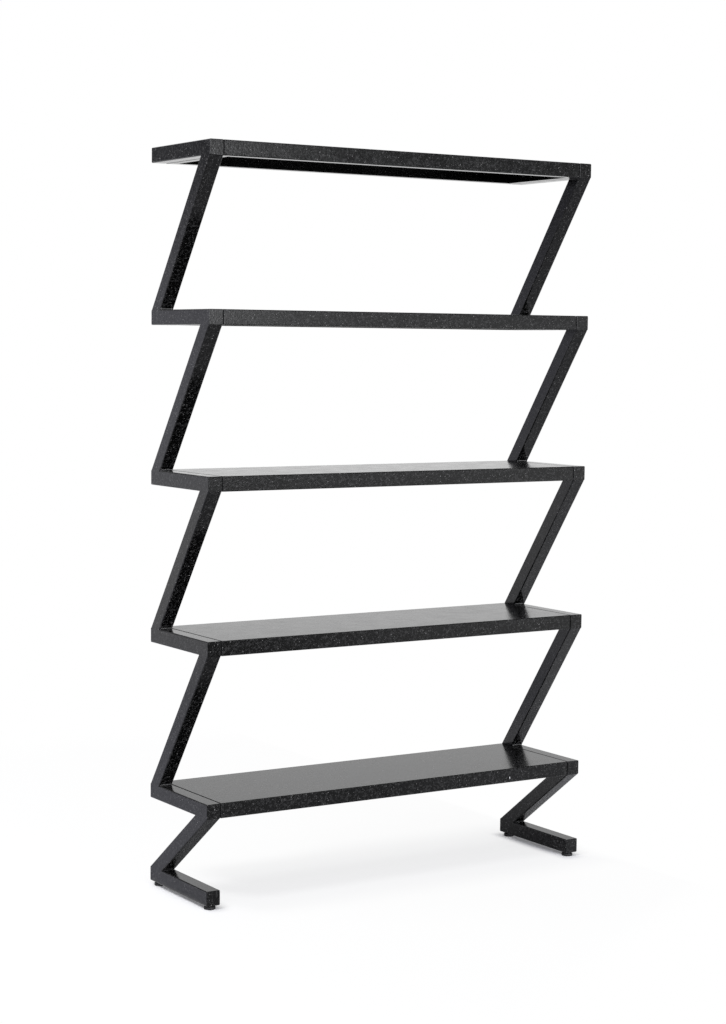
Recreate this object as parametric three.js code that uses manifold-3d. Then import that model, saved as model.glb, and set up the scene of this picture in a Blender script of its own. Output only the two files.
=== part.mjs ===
// Zigzag bookshelf: two welded side frames of square steel tube carry five folded steel shelves.
// Millimetres, +Z up, +X along the shelves, the front towards -Y.
// The origin lies on the floor, under the middle of the bookshelf.

import * as THREE from "three";
import { mergeVertices } from "three/addons/utils/BufferGeometryUtils.js";
import Module from "manifold-3d";

const wasm = await Module();
wasm.setup();

// Overall sizes
const WIDTH = 1220; // over the outer faces of both side frames
const DEPTH = 320; // over the end plates of a tube, and over a shelf's lips
const SHELF_COUNT = 5;
const SHELF_PITCH = 425; // from one shelf's top to the next one's
const FOOT_PITCH = 229; // from the foot bar's top to the lowest shelf's top

// Square tube of the side frames
const TUBE = 40; // outer side, which the shelves' lips share
const TUBE_WALL = 2;
const TUBE_CORNER = 3; // outer radius along the tube's four edges
const END_PLATE = 3; // thickness of the plate welded over each tube end
const END_ROUND = 1; // radius ground on the rim of an end plate

// Shelves, each a tray folded from one sheet
const SHEET = 1.5;
const BEND = 2.5; // outer radius of a fold
const SHELF_END_ROUND = 1.5; // radius ground on the welded corners and ends of a tray
const RETURN = 25; // how far a return flange reaches in under the shelf
const MITRE_SLIT = 1; // width of the open joint between two return flanges
const RELIEF = 2; // radius of the relief hole where two flanges and two lips meet

// Shelf screws and the rivet nuts set in the tubes
const SCREW = 6; // thread diameter
const SCREW_SPREAD = 200; // between the two screws of one shelf end
const SCREW_REACH = 16; // length under the head
const SCREW_HEAD = 10.5; // diameter of the button head
const SCREW_HEAD_HEIGHT = 3.3;
const SOCKET_SIDE = 4; // across the flats of the key socket
const SOCKET_DEPTH = 1.8;
const HOLE_PLAY = 0.3; // between a screw and the hole it passes through, all round
const THREAD_PLAY = 0.15; // between a thread and its nut, all round
const NUT_BODY = 9; // outer diameter of a rivet nut
const NUT_FLANGE = 13;
const NUT_FLANGE_THICKNESS = 2; // holds a shelf off the tube, which leaves the dark joint
const NUT_LENGTH = 14; // from the tube's face inwards

// Levelling feet
const FOOT_HEIGHT = 12; // from the floor to the foot bar, with the foot screwed right in
const FOOT_INSET = 20; // from a tube end to the foot's axis
const PAD = 31; // diameter
const PAD_HEIGHT = 8;
const PAD_EDGE = 1; // chamfer under the pad
const PAD_SHOULDER = 2; // height of the cone on top of the pad
const PAD_CROWN = 26; // diameter at the top of the cone
const SOCKET_PLAY = 0.3; // between a stud's head and the socket in its pad
const STUD_HEAD = 10; // diameter of the head held in the pad
const STUD_HEAD_HEIGHT = 4;
const STUD = 8; // thread diameter
const STUD_REACH = 30; // thread length above the collar
const COLLAR_SIDE = 22; // across the flats of the spanner collar
const RUNNING_GAP = 0.3; // above and below the collar, and under the stud's head
const WELD_NUT_SIDE = 14; // across the flats
const WELD_NUT_HEIGHT = 6.5;

// One overrun serves every cut
const OVERRUN = 1;

// Facets
const CORNER_STEPS = 1; // half the segments of a quarter round at a corner
const ROUND_STEPS = 20;
const SCREW_STEPS = 12;
const BEVEL_STEPS = 1;

// Finishes
const COAT = { color: 0x242426, roughness: 0.42, metalness: 0.0 };
const BLACK_STEEL = { color: 0x1b1b1c, roughness: 0.4, metalness: 0.8 };
const ZINC_STEEL = { color: 0x9a9c9e, roughness: 0.35, metalness: 1.0 };
const BLACK_PLASTIC = { color: 0x101011, roughness: 0.55, metalness: 0.0 };

// Sizes that follow
const SHELF_LENGTH = WIDTH - 2 * (TUBE + NUT_FLANGE_THICKNESS);
const FRAME_OFFSET = (WIDTH - TUBE) / 2;
const FOOT_TOP = FOOT_HEIGHT + TUBE;
const LAND = DEPTH - 2 * END_ROUND; // flat length of a tube, on which the diagonals stand

const X_AXIS = new THREE.Vector3(1, 0, 0);
const Y_AXIS = new THREE.Vector3(0, 1, 0);
const Z_AXIS = new THREE.Vector3(0, 0, 1);
const ALONG_X = new THREE.Matrix4().makeBasis(Y_AXIS, Z_AXIS, X_AXIS);
const ALONG_Y = new THREE.Matrix4().makeBasis(X_AXIS, Z_AXIS, Y_AXIS.clone().negate());

const SIDES = [
  { name: "left", sign: -1 },
  { name: "right", sign: 1 },
];
const ENDS = [
  { name: "front", sign: -1 },
  { name: "back", sign: 1 },
];

// Solids and meshes

function solidOf(geometry) {
  const bare = geometry.clone();
  bare.deleteAttribute("normal");
  bare.deleteAttribute("uv");
  const merged = mergeVertices(bare);
  const mesh = new wasm.Mesh({
    numProp: 3,
    vertProperties: Float32Array.from(merged.getAttribute("position").array),
    triVerts: Uint32Array.from(merged.index.array),
  });
  return new wasm.Manifold(mesh);
}

function geometryOf(solid) {
  const mesh = solid.getMesh();
  const geometry = new THREE.BufferGeometry();
  geometry.setAttribute("position", new THREE.BufferAttribute(mesh.vertProperties, mesh.numProp));
  geometry.setIndex(new THREE.BufferAttribute(mesh.triVerts, 1));
  return geometry;
}

function partMesh(name, geometry, finish) {
  const flat = geometry.index ? geometry.toNonIndexed() : geometry;
  flat.computeVertexNormals();
  const mesh = new THREE.Mesh(flat, new THREE.MeshStandardMaterial(finish));
  mesh.name = name;
  return mesh;
}

function cutAll(solid, tools) {
  return tools.reduce((rest, tool) => rest.subtract(tool), solid);
}

function joinAll(solid, pieces) {
  return pieces.reduce((whole, piece) => whole.add(piece), solid);
}

// A rectangle with its centre at the origin and elliptical corners.
function roundedRectangle(width, height, cornerX, cornerY, outline = new THREE.Shape()) {
  const x = width / 2 - cornerX;
  const y = height / 2 - cornerY;
  outline.absellipse(x, y, cornerX, cornerY, 0, Math.PI / 2);
  outline.absellipse(-x, y, cornerX, cornerY, Math.PI / 2, Math.PI);
  outline.absellipse(-x, -y, cornerX, cornerY, Math.PI, 1.5 * Math.PI);
  outline.absellipse(x, -y, cornerX, cornerY, 1.5 * Math.PI, 2 * Math.PI);
  outline.closePath();
  return outline;
}

// A regular hexagon, given across its flats.
function hexagon(acrossFlats) {
  const radius = acrossFlats / Math.sqrt(3);
  const corners = Array.from({ length: 6 }, (_, i) => {
    const angle = (i * Math.PI) / 3;
    return new THREE.Vector2(radius * Math.cos(angle), radius * Math.sin(angle));
  });
  return new THREE.Shape(corners);
}

function extrude(shape, depth) {
  return new THREE.ExtrudeGeometry(shape, { depth, curveSegments: CORNER_STEPS, bevelEnabled: false });
}

// An extrusion of the whole length, centred, with rounded rims at both ends.
function extrudeRounded(shape, length, radius) {
  return new THREE.ExtrudeGeometry(shape, {
    depth: length - 2 * radius,
    curveSegments: CORNER_STEPS,
    bevelThickness: radius,
    bevelSize: radius,
    bevelOffset: -radius,
    bevelSegments: BEVEL_STEPS,
  }).translate(0, 0, radius - length / 2);
}

// A body of revolution about Z, from [radius, height] pairs that start and end on the axis.
function revolve(profile, steps = ROUND_STEPS) {
  const points = profile.map(([radius, height]) => new THREE.Vector2(radius, height));
  return new THREE.LatheGeometry(points, steps).rotateX(Math.PI / 2);
}

// A cylinder about Z between two heights.
function rod(diameter, bottom, top, steps = ROUND_STEPS) {
  const radius = diameter / 2;
  return revolve([[0, bottom], [radius, bottom], [radius, top], [0, top]], steps);
}

// Side frames

// How a diagonal stands between two tubes that lie a clear height apart: its foot ends flush
// with the lower tube's back, and its head ends flush with the upper tube's front.
function diagonalStance(height) {
  const lean = Math.atan2(height, LAND) + Math.asin(TUBE / Math.hypot(LAND, height));
  const foot = TUBE / Math.sin(lean);
  return { height, lean, foot, run: LAND - foot };
}

const LOW_STANCE = diagonalStance(FOOT_PITCH - TUBE);
const HIGH_STANCE = diagonalStance(SHELF_PITCH - TUBE);

// The slanted tube, cut level at both ends: its level section sheared along the slope.
function diagonal({ height, lean, foot, run }) {
  const stretch = 1 / Math.sin(lean);
  const section = roundedRectangle(TUBE, foot, TUBE_CORNER, TUBE_CORNER * stretch);
  const bore = TUBE_CORNER - TUBE_WALL;
  section.holes.push(
    roundedRectangle(
      TUBE - 2 * TUBE_WALL,
      foot - 2 * TUBE_WALL * stretch,
      bore,
      bore * stretch,
      new THREE.Path(),
    ),
  );
  const slope = new THREE.Matrix4().makeShear(0, 0, 0, 0, 0, -run / height);
  return extrude(section, height).applyMatrix4(slope);
}

// Weld metal that fills a tube's rounded edges under a diagonal's end, ground flush with its sides.
function weldFills(stance, end, face) {
  const taper = TUBE_CORNER / Math.sin(stance.lean);
  const outer = TUBE / 2;
  const inner = outer - TUBE_CORNER;
  const near = (end * LAND) / 2;
  const far = near - end * stance.foot;
  return SIDES.map(({ sign }) => {
    const plan = new THREE.Shape([
      new THREE.Vector2(sign * inner, near),
      new THREE.Vector2(sign * outer, near - end * taper),
      new THREE.Vector2(sign * outer, far + end * taper),
      new THREE.Vector2(sign * inner, far),
    ]);
    const fill = extrude(plan, TUBE_CORNER);
    return solidOf(fill.translate(0, 0, face > 0 ? outer - TUBE_CORNER : -outer));
  });
}

// A tube that lies front to back, hollow, with a plate welded over each end.
function levelTube(stanceAbove, stanceBelow) {
  const outside = extrudeRounded(roundedRectangle(TUBE, TUBE, TUBE_CORNER, TUBE_CORNER), DEPTH, END_ROUND);
  const clear = TUBE - 2 * TUBE_WALL;
  const bore = TUBE_CORNER - TUBE_WALL;
  const hollowLength = DEPTH - 2 * END_PLATE;
  const hollow = extrude(roundedRectangle(clear, clear, bore, bore), hollowLength);
  hollow.translate(0, 0, -hollowLength / 2);
  const fills = [];
  if (stanceAbove) fills.push(...weldFills(stanceAbove, 1, 1));
  if (stanceBelow) fills.push(...weldFills(stanceBelow, -1, -1));
  return {
    walls: joinAll(solidOf(outside.applyMatrix4(ALONG_Y)), fills),
    hollow: solidOf(hollow.applyMatrix4(ALONG_Y)),
  };
}

// A rivet nut on the tube's inner side, with its flange outside, and the bore for its thread.
function rivetNut(inward, y) {
  const face = TUBE / 2;
  const body = NUT_BODY / 2;
  const flange = NUT_FLANGE / 2;
  const nose = face + NUT_FLANGE_THICKNESS;
  const tail = face - NUT_LENGTH;
  const root = face - TUBE_WALL / 2;
  const turned = new THREE.Matrix4().makeRotationY((inward * Math.PI) / 2);
  const nut = revolve(
    [[0, tail], [body, tail], [body, root], [flange, root], [flange, nose], [0, nose]],
    SCREW_STEPS,
  );
  const thread = rod(SCREW + 2 * THREAD_PLAY, tail - OVERRUN, nose + OVERRUN, SCREW_STEPS);
  return {
    nut: solidOf(nut.applyMatrix4(turned).translate(0, y, 0)),
    thread: solidOf(thread.applyMatrix4(turned).translate(0, y, 0)),
  };
}

// A tube at a shelf's level, with the two rivet nuts that the shelf is screwed to.
function shelfTube(inward, stanceAbove, stanceBelow) {
  const { walls, hollow } = levelTube(stanceAbove, stanceBelow);
  const nuts = ENDS.map(({ sign }) => rivetNut(inward, (sign * SCREW_SPREAD) / 2));
  const shell = walls.subtract(hollow);
  const set = joinAll(shell, nuts.map(({ nut }) => nut));
  return geometryOf(cutAll(set, nuts.map(({ thread }) => thread)));
}

// The tube that stands on the feet, with a hole in its underside for each stud.
function footBar() {
  const { walls, hollow } = levelTube(LOW_STANCE, null);
  const bottom = -TUBE / 2;
  const holes = ENDS.map(({ sign }) => {
    const hole = rod(STUD + 2 * THREAD_PLAY, bottom - OVERRUN, bottom + TUBE_WALL + OVERRUN);
    return solidOf(hole.translate(0, sign * (DEPTH / 2 - FOOT_INSET), 0));
  });
  return geometryOf(cutAll(walls.subtract(hollow), holes));
}

function shelfTop(level) {
  return FOOT_TOP + FOOT_PITCH + level * SHELF_PITCH;
}

// One zigzag: the foot bar, then for each shelf a diagonal and the tube that it carries.
function sideFrame({ name, sign }) {
  const frame = new THREE.Group();
  frame.position.x = sign * FRAME_OFFSET;
  const bar = partMesh(`${name}_foot_bar`, footBar(), COAT);
  bar.position.z = FOOT_TOP - TUBE / 2;
  frame.add(bar);
  for (let level = 0; level < SHELF_COUNT; level++) {
    const stance = level ? HIGH_STANCE : LOW_STANCE;
    const slant = partMesh(`${name}_diagonal_${level + 1}`, diagonal(stance), COAT);
    slant.position.y = (LAND - stance.foot) / 2;
    slant.position.z = level ? shelfTop(level - 1) : FOOT_TOP;
    const above = level < SHELF_COUNT - 1 ? HIGH_STANCE : null;
    const tube = partMesh(`${name}_shelf_tube_${level + 1}`, shelfTube(-sign, above, stance), COAT);
    tube.position.z = shelfTop(level) - TUBE / 2;
    frame.add(slant, tube);
  }
  return frame;
}

// Shelves

// The cuts that open a tray's underside: the window, and the mitred joints at its corners.
function undersideCuts() {
  const bottom = -TUBE / 2;
  const through = SHEET + 2 * OVERRUN;
  const window = extrude(
    roundedRectangle(SHELF_LENGTH - 2 * RETURN, DEPTH - 2 * RETURN, BEND, BEND),
    through,
  );
  const cuts = [solidOf(window.translate(0, 0, bottom - OVERRUN))];
  const slitLength = (RETURN - BEND) * Math.SQRT2;
  for (const { sign: x } of SIDES) {
    for (const { sign: y } of ENDS) {
      const cornerX = x * (SHELF_LENGTH / 2 - BEND - RELIEF);
      const cornerY = y * (DEPTH / 2 - BEND - RELIEF);
      const relief = rod(2 * RELIEF, bottom - OVERRUN, bottom - OVERRUN + through, SCREW_STEPS);
      const slit = new THREE.BoxGeometry(slitLength, MITRE_SLIT, through);
      slit.translate(-slitLength / 2, 0, bottom - OVERRUN + through / 2);
      slit.rotateZ(Math.atan2(y, x));
      cuts.push(solidOf(relief.translate(cornerX, cornerY, 0)));
      cuts.push(solidOf(slit.translate(cornerX, cornerY, 0)));
    }
  }
  return cuts;
}

// The clearance holes for the screws, through both end lips.
function screwHoles() {
  const face = SHELF_LENGTH / 2;
  return SIDES.flatMap(({ sign: x }) =>
    ENDS.map(({ sign: y }) => {
      const hole = rod(SCREW + 2 * HOLE_PLAY, face - SHEET - OVERRUN, face + OVERRUN, SCREW_STEPS);
      hole.rotateY((x * Math.PI) / 2);
      return solidOf(hole.translate(0, (y * SCREW_SPREAD) / 2, 0));
    }),
  );
}

// A tray folded from sheet: the top, four lips as high as the tube, and four return flanges.
function shelfTray() {
  const outside = extrudeRounded(roundedRectangle(DEPTH, TUBE, BEND, BEND), SHELF_LENGTH, SHELF_END_ROUND);
  const fold = BEND - SHEET;
  const hollowLength = SHELF_LENGTH - 2 * SHEET;
  const hollow = extrude(
    roundedRectangle(DEPTH - 2 * SHEET, TUBE - 2 * SHEET, fold, fold),
    hollowLength,
  ).translate(0, 0, -hollowLength / 2);
  const sheet = solidOf(outside.applyMatrix4(ALONG_X)).subtract(solidOf(hollow.applyMatrix4(ALONG_X)));
  return geometryOf(cutAll(sheet, [...undersideCuts(), ...screwHoles()]));
}

// A button-head screw about Z, with the head's underside at the origin and the thread upwards.
function shelfScrew() {
  const shank = SCREW / 2;
  const head = SCREW_HEAD / 2;
  const crownShare = 0.6; // of the head's radius, flat on top
  const rimShare = 0.3; // of the head's height, straight at its rim
  const body = revolve(
    [
      [0, -SCREW_HEAD_HEIGHT],
      [crownShare * head, -SCREW_HEAD_HEIGHT],
      [head, -rimShare * SCREW_HEAD_HEIGHT],
      [head, 0],
      [shank, 0],
      [shank, SCREW_REACH],
      [0, SCREW_REACH],
    ],
    SCREW_STEPS,
  );
  const socket = extrude(hexagon(SOCKET_SIDE), SOCKET_DEPTH + OVERRUN);
  socket.translate(0, 0, -SCREW_HEAD_HEIGHT - OVERRUN);
  return geometryOf(solidOf(body).subtract(solidOf(socket)));
}

function shelf(level) {
  const group = new THREE.Group();
  group.position.z = shelfTop(level) - TUBE / 2;
  group.add(partMesh(`shelf_${level + 1}`, shelfTray(), COAT));
  for (const side of SIDES) {
    for (const end of ENDS) {
      const name = `shelf_${level + 1}_screw_${side.name}_${end.name}`;
      const screw = partMesh(name, shelfScrew(), BLACK_STEEL);
      screw.position.x = side.sign * (SHELF_LENGTH / 2 - SHEET);
      screw.position.y = (end.sign * SCREW_SPREAD) / 2;
      screw.rotation.y = (side.sign * Math.PI) / 2;
      group.add(screw);
    }
  }
  return group;
}

// Levelling feet, built about Z with the floor at zero

const SOCKET_FLOOR = PAD_HEIGHT - RUNNING_GAP - STUD_HEAD_HEIGHT;
const COLLAR_BOTTOM = PAD_HEIGHT + RUNNING_GAP;
const COLLAR_TOP = FOOT_HEIGHT - RUNNING_GAP;

function footPad() {
  const radius = PAD / 2;
  const socket = STUD_HEAD / 2 + SOCKET_PLAY;
  return revolve([
    [0, 0],
    [radius - PAD_EDGE, 0],
    [radius, PAD_EDGE],
    [radius, PAD_HEIGHT - PAD_SHOULDER],
    [PAD_CROWN / 2, PAD_HEIGHT],
    [socket, PAD_HEIGHT],
    [socket, SOCKET_FLOOR],
    [0, SOCKET_FLOOR],
  ]);
}

function footStud() {
  const head = STUD_HEAD / 2;
  const thread = STUD / 2;
  const middle = (COLLAR_BOTTOM + COLLAR_TOP) / 2;
  const tip = COLLAR_TOP + STUD_REACH;
  const spindle = revolve([
    [0, SOCKET_FLOOR + RUNNING_GAP],
    [head, SOCKET_FLOOR + RUNNING_GAP],
    [head, middle],
    [thread, middle],
    [thread, tip],
    [0, tip],
  ]);
  const collar = extrude(hexagon(COLLAR_SIDE), COLLAR_TOP - COLLAR_BOTTOM);
  collar.translate(0, 0, COLLAR_BOTTOM);
  return geometryOf(solidOf(spindle).add(solidOf(collar)));
}

function weldNut() {
  const nut = extrude(hexagon(WELD_NUT_SIDE), WELD_NUT_HEIGHT);
  const thread = rod(STUD + 2 * THREAD_PLAY, -OVERRUN, WELD_NUT_HEIGHT + OVERRUN);
  return geometryOf(solidOf(nut).subtract(solidOf(thread)));
}

function levellingFoot(side, end) {
  const place = `${side.name}_${end.name}`;
  const foot = new THREE.Group();
  foot.position.x = side.sign * FRAME_OFFSET;
  foot.position.y = end.sign * (DEPTH / 2 - FOOT_INSET);
  const nut = partMesh(`weld_nut_${place}`, weldNut(), ZINC_STEEL);
  nut.position.z = FOOT_HEIGHT + TUBE_WALL;
  foot.add(partMesh(`foot_pad_${place}`, footPad(), BLACK_PLASTIC));
  foot.add(partMesh(`foot_stud_${place}`, footStud(), BLACK_STEEL));
  foot.add(nut);
  return foot;
}

const bookshelf = new THREE.Group();
for (const side of SIDES) {
  bookshelf.add(sideFrame(side));
  for (const end of ENDS) bookshelf.add(levellingFoot(side, end));
}
for (let level = 0; level < SHELF_COUNT; level++) bookshelf.add(shelf(level));

export default bookshelf;
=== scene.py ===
import math

import bpy
import numpy as np
from mathutils import Matrix, Vector
from mathutils.geometry import tessellate_polygon


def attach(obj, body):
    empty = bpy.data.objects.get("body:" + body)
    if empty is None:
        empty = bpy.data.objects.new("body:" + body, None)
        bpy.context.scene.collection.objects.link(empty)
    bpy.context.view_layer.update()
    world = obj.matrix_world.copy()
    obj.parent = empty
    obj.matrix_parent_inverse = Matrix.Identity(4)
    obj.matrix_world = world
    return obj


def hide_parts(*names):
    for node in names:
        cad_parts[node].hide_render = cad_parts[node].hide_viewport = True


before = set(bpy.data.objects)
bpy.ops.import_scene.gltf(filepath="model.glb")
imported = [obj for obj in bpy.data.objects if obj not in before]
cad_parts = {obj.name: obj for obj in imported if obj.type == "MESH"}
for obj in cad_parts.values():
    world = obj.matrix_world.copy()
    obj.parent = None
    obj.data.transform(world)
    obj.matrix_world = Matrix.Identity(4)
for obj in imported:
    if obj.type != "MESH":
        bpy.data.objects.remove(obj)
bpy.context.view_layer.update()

# The pieces are drawn in millimetres, in the row frame, and built in metres.
MM = 0.001

WIDTH = 1220
DEPTH = 320
SHELF_COUNT = 5
SHELF_PITCH = 425
FOOT_PITCH = 229

TUBE = 40
TUBE_WALL = 2
TUBE_CORNER = 3
END_PLATE = 3
END_ROUND = 1

SHEET = 1.5
BEND = 2.5
SHELF_END_ROUND = 1.5
SHELF_INSIDE_ROUND = 0.25
RETURN = 25
MITRE_SLIT = 1
RELIEF = 1.9
RELIEF_INSET = 2

SCREW = 6
SCREW_SPREAD = 200
SCREW_REACH = 16
SCREW_POINT_CHAMFER = 0.8
SCREW_HEAD = 10.5
SCREW_HEAD_HEIGHT = 3.3
SCREW_HEAD_RIM = 0.5
SCREW_HEAD_BEVEL = 0.3
SCREW_DOME = math.radians(62)
SOCKET_SIDE = 4
SOCKET_DEPTH = 1.8
SOCKET_POINT = 0.7
SOCKET_CHAMFER = 0.25
NUT_FLANGE = 13
NUT_FLANGE_THICKNESS = 2
NUT_FLANGE_BEVEL = 0.4
NUT_PLAY = 0.15

FOOT_HEIGHT = 12
FOOT_INSET = 20
PAD = 31
PAD_HEIGHT = 8
PAD_CROWN = 26
PAD_EDGE = 1
PAD_SHOULDER = 2
PAD_GROOVE = 3.5
PAD_GROOVE_WIDTH = 0.8
PAD_GROOVE_DEPTH = 0.35
PAD_SOCKET_BEVEL = 0.4
STUD_HEAD = 10
STUD_HEAD_HEIGHT = 4
STUD_HEAD_BEVEL = 0.5
STUD = 8
STUD_REACH = 30
STUD_PITCH = 1.25
STUD_THREAD_DEPTH = 0.61 * STUD_PITCH
STUD_CREST_SHARE = 1.18
STUD_FLANK_SHARE = 1.36
STUD_RUN_OUT = 1
STUD_PLAY = 0.3
COLLAR_SIDE = 22
COLLAR_CHAMFER = 0.7
COLLAR_FACE = 0.5
RUNNING_GAP = 0.3

WELD_LEG = 4
WELD_RIPPLE = 2.6
WELD_RIPPLE_SHARE = 0.06
WELD_DRIFT = 2 * math.pi / 1.7
WELD_DRIFT_SHARE = 0.03
WELD_HOLLOW = 0.18
WELD_ROOT = 0.6
WELD_FADE = 1.5
WELD_RUN_OUT = 1.2
WELD_TIP = 0.02

SHELF_LENGTH = WIDTH - 2 * (TUBE + NUT_FLANGE_THICKNESS)
FRAME_OFFSET = (WIDTH - TUBE) / 2
FOOT_TOP = FOOT_HEIGHT + TUBE
LAND = DEPTH - 2 * END_ROUND
SHELF_TOPS = [FOOT_TOP + FOOT_PITCH + level * SHELF_PITCH for level in range(SHELF_COUNT)]
SOCKET_FLOOR = PAD_HEIGHT - RUNNING_GAP - STUD_HEAD_HEIGHT
COLLAR_BOTTOM = PAD_HEIGHT + RUNNING_GAP
COLLAR_TOP = FOOT_HEIGHT - RUNNING_GAP

# How finely round shapes are cut.
CORNER_STEPS = 6
DIAGONAL_CORNER_STEPS = 8
RIM_STEPS = 4
HOLE_STEPS = 32
LATHE_STEPS = 48
FOOT_STEPS = 72
DOME_STEPS = 8
SHOULDER_STEPS = 6
RELIEF_STEPS = 16
THREAD_STEPS = 32
THREAD_ROWS = 8
WELD_STEPS = 8
BEAD_ROWS = 73
BEAD_STEPS = 6
TRAY_STATIONS = 25
TRAY_SEAMS = 7

SIDES = {"left": -1, "right": 1}
ENDS = {"front": -1, "back": 1}
CORNERS = ((1, 1), (-1, 1), (-1, -1), (1, -1))
ALONG_X, ALONG_Y = 0, 1
DOWN, UP = (0, 0, -1), (0, 0, 1)
ROOT = "shelf_unit"


# Skins: points, faces and corner normals


class Skin:
    """Collects the faces of one piece. A ring is a (corner indices, normals) pair, and a ring or
    face with no normals is flat."""

    def __init__(self):
        self.points = []
        self.faces = []
        self.normals = []

    def add(self, points):
        start = len(self.points)
        self.points.extend(tuple(float(c) for c in p) for p in points)
        return list(range(start, len(self.points)))

    def face(self, corners, normals=None, towards=None):
        """towards is the direction that a flat face looks in."""
        p = np.array([self.points[c] for c in corners])
        after = np.roll(p, -1, axis=0)
        flat = np.cross(p - p[0], after - p[0]).sum(axis=0)
        size = np.linalg.norm(flat)
        if size < 1e-12:
            return
        flat = flat / size
        if normals is None:
            normals = [flat if towards is None else np.asarray(towards, float)] * len(corners)
        corners, normals = list(corners), [np.asarray(n, float) for n in normals]
        if flat @ np.sum(normals, axis=0) < 0:
            corners.reverse()
            normals.reverse()
        self.faces.append(corners)
        self.normals.extend(normals)

    def band(self, one, other, skip=()):
        """Quads between two rings. skip has the places that stay open."""
        (a, na), (b, nb) = one, other
        for i in range(len(a)):
            if i in skip:
                continue
            j = (i + 1) % len(a)
            normals = None if na is None else [na[i], na[j], nb[j], nb[i]]
            self.face([a[i], a[j], b[j], b[i]], normals)

    def stack(self, rings, first_towards, last_towards):
        """Bands between rings that follow one another, and a flat face on the first and last."""
        for one, other in zip(rings, rings[1:]):
            self.band(one, other)
        self.face(rings[0][0], towards=first_towards)
        self.face(rings[-1][0], towards=last_towards)

    def piece(self, name, body, material, nodes=()):
        mesh = bpy.data.meshes.new(name)
        mesh.from_pydata([tuple(MM * c for c in p) for p in self.points], [], self.faces)
        mesh.shade_smooth()
        unit = [tuple(n / np.linalg.norm(n)) for n in self.normals]
        mesh.normals_split_custom_set(unit)
        mesh.materials.append(material)
        made = bpy.data.objects.new(name, mesh)
        bpy.context.scene.collection.objects.link(made)
        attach(made, body)
        if nodes:
            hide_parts(*nodes)


def rounded_outline(width, height, corner_u, corner_v, steps):
    """Points and normals of a rectangle with elliptical corners, as (u, v, nu, nv) rows."""
    rows = []
    for quarter, (su, sv) in enumerate(CORNERS):
        for k in range(steps + 1):
            angle = (quarter + k / steps) * math.pi / 2
            cos, sin = math.cos(angle), math.sin(angle)
            u = su * (width / 2 - corner_u) + corner_u * cos
            v = sv * (height / 2 - corner_v) + corner_v * sin
            nu, nv = cos * corner_v, sin * corner_u
            size = math.hypot(nu, nv)
            rows.append((u, v, nu / size, nv / size))
    return np.array(rows)


def capped_bar(
    skin, axis, centre, width, height, corner, length, rim,
    steps=CORNER_STEPS, rim_steps=RIM_STEPS, inward=False, stations=(), seams=(),
):
    """A straight bar with rounded edges and rims about a centre, along X or Y and with its width
    along the other. inward turns the skin inside out. Where stations along it or seams across its
    underside are given, the underside is left open between its rims, and its edges' corners come
    back as one row for each station."""
    turn = -1 if inward else 1
    # The rims' corners draw in a little less than the rims do, so they never shrink to a point.
    corner_share = 0.98

    def lay(u, v, w):
        """A place or direction across, up and along the bar, in X, Y and Z."""
        return np.array((w, u, v) if axis == ALONG_X else (u, w, v))

    stops = []
    for end in (-1, 1):
        order = range(rim_steps + 1) if end < 0 else range(rim_steps, -1, -1)
        for k in order:
            angle = k / rim_steps * math.pi / 2
            along = end * (length / 2 - rim * (1 - math.cos(angle)))
            stops.append((along, rim * (1 - math.sin(angle)), angle, end))
        if end < 0:
            stops.extend((w, 0, math.pi / 2, end) for w in stations)
    last_of_corner = 3 * steps + 2
    rings = []
    for w, inset, angle, end in stops:
        radius = corner - inset * corner_share
        outline = rounded_outline(width - 2 * inset, height - 2 * inset, radius, radius, steps)
        across = np.array([(u, inset - height / 2, 0, -1) for u in seams]).reshape(-1, 4)
        outline = np.vstack((outline[:last_of_corner + 1], across, outline[last_of_corner + 1:]))
        cos, sin = math.cos(angle), math.sin(angle)
        points = [lay(u, v, w) + centre for u, v, _, _ in outline]
        normals = [turn * lay(nu * sin, nv * sin, end * cos) for _, _, nu, nv in outline]
        rings.append((skin.add(points), normals))
    underside = range(last_of_corner, last_of_corner + len(seams) + 1)
    left_open = bool(len(stations) or len(seams))
    straight = range(rim_steps, rim_steps + len(stations) + 1)
    for k, (one, other) in enumerate(zip(rings, rings[1:])):
        skin.band(one, other, skip=underside if left_open and k in straight else ())
    for end, ring in ((-1, rings[0]), (1, rings[-1])):
        skin.face(ring[0], towards=turn * lay(0, 0, end))
    rows = rings[rim_steps:rim_steps + len(stations) + 2]
    return [ring[0][last_of_corner:last_of_corner + len(seams) + 2] for ring in rows]


def fill(skin, loops, towards):
    """Triangles for a flat outline, the first loop, with holes, the others."""
    corners = [c for loop in loops for c in loop]
    outlines = [[Vector(skin.points[c]) for c in loop] for loop in loops]
    for triangle in tessellate_polygon(outlines):
        skin.face([corners[t] for t in triangle], towards=towards)


def walls_between(skin, outer, inner):
    """The cut edge of the sheet around a hole, between its outline on both faces. The outline goes
    round anticlockwise seen from above."""
    for i in range(len(outer)):
        j = (i + 1) % len(outer)
        along = np.array(skin.points[outer[j]]) - np.array(skin.points[outer[i]])
        skin.face([outer[i], outer[j], inner[j], inner[i]], towards=(-along[1], along[0], 0))


def hexagon_radius(across_flats, angle):
    """From the centre of a hexagon to its edge. The angle is counted from the middle of a flat."""
    return across_flats / 2 / math.cos((angle + math.pi / 6) % (math.pi / 3) - math.pi / 6)


def blended(slope, other, sharp):
    """A slope's normal where it meets another: between the two, or its own at a bend or end."""
    if other is None or slope[0] * other[0] + slope[1] * other[1] < math.cos(sharp):
        return slope
    return (slope[0] + other[0], slope[1] + other[1])


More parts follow.
